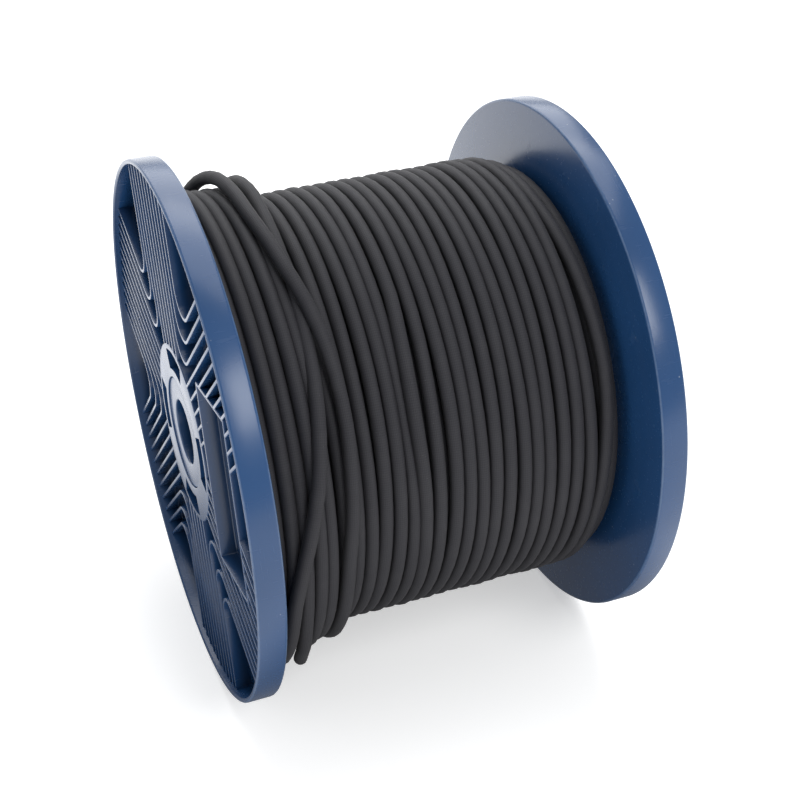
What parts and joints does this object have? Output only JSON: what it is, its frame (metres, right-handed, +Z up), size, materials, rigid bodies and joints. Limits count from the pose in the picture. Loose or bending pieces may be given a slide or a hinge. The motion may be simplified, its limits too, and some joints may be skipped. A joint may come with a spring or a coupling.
{
  "type": "cable reel",
  "caption": "Blue moulded plastic cable reel with ribbed round flanges and a central axle bore, wound with black cord whose cut end hangs loose.",
  "frame": {"origin": "the reel's centre: on the axis of the axle bore, midway between the flanges", "axes": "+X along the bore from the near flange to the far one, +Z up with the reel lying on its rims"},
  "size_m": [0.23, 0.2996, 0.2996],
  "materials": {
    "flange_blue": "moulded, semi-gloss, with fine scuffs",
    "bush_blue": "moulded, semi-gloss",
    "barrel_blue": "moulded, satin",
    "core_blue": "moulded, satin",
    "cord_black": "matt black with a fine braided grain"
  },
  "bodies": {
    "root": {"near_flange": "flange_blue", "far_flange": "flange_blue", "near_bush": "bush_blue", "far_bush": "bush_blue", "barrel": "barrel_blue", "core_tube": "core_blue", "cord_winding": "cord_black", "cord_loose_turns": "cord_black", "cord_tail": "cord_black", "cord_inner_end": "cord_black"}
  },
  "joints": []
}
